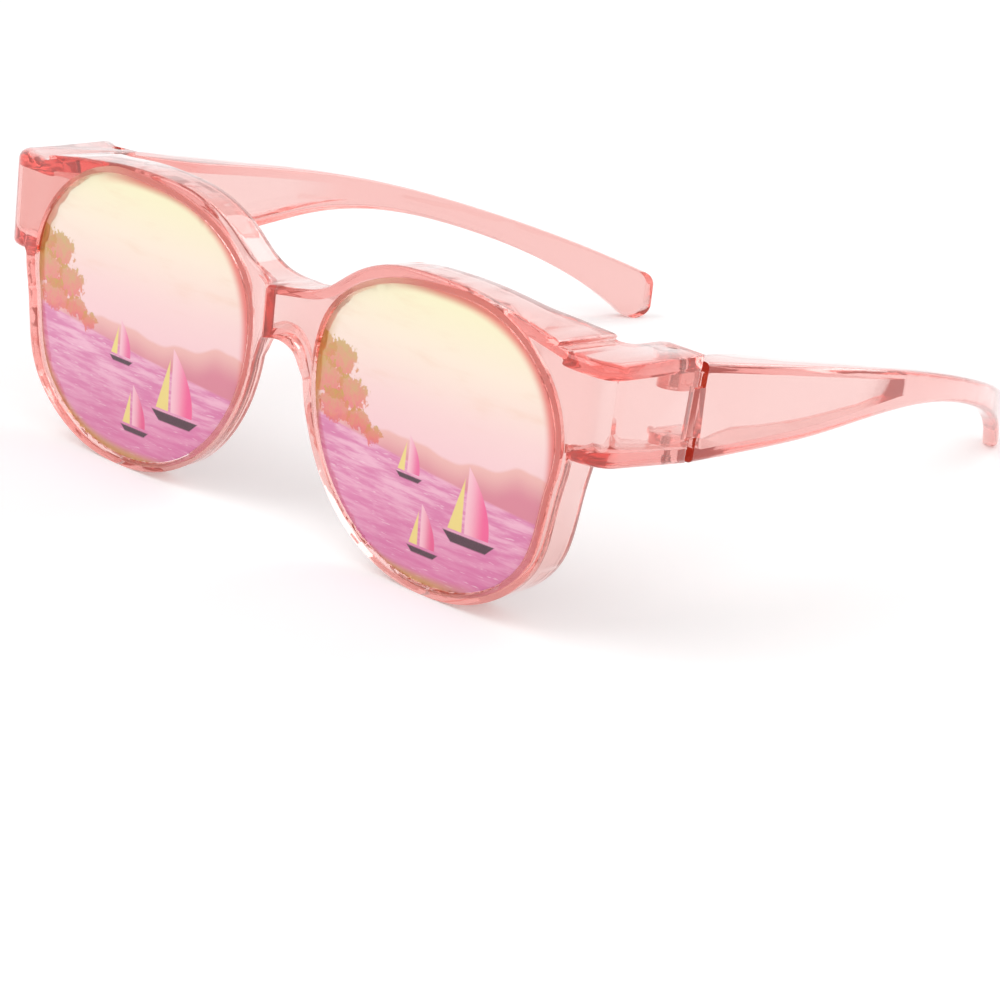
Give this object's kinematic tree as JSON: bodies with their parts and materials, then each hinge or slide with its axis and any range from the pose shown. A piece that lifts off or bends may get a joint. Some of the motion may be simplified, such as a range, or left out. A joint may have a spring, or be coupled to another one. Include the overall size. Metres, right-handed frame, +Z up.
{
  "type": "fitover sunglasses",
  "caption": "Oversized sunglasses worn over prescription spectacles: translucent moulded front with deep brow and side channels, domed mirror lenses, folding temples on pins.",
  "frame": {"origin": "on the ground plane, at the middle of the part's overall width and depth", "axes": "+Z is up with the rims and temple tips on z = 0, the lenses face -Y, and +X is the wearer's left"},
  "size_m": [0.148, 0.1694, 0.0568],
  "materials": {
    "frame": "polished, translucent blush pink",
    "lens": "flash mirror coat, graded pale gold above to magenta below",
    "pin": "satin"
  },
  "bodies": {
    "front": {"front_frame": "frame", "left_lens": "lens", "right_lens": "lens", "left_upper_hinge_pin": "pin", "left_lower_hinge_pin": "pin", "right_upper_hinge_pin": "pin", "right_lower_hinge_pin": "pin"},
    "left_temple": {"left_temple": "frame"},
    "right_temple": {"right_temple": "frame"}
  },
  "joints": [
    {"name": "left_temple_fold", "type": "hinge", "parent": "front", "child": "left_temple", "pos_m": [0.0685, -0.05725, 0.04009], "axis": [0, 0.0872, 0.9962], "range_deg": [0, 84]},
    {"name": "right_temple_fold", "type": "hinge", "parent": "front", "child": "right_temple", "pos_m": [-0.0685, -0.05725, 0.04009], "axis": [0, -0.0872, -0.9962], "range_deg": [0, 69]}
  ]
}
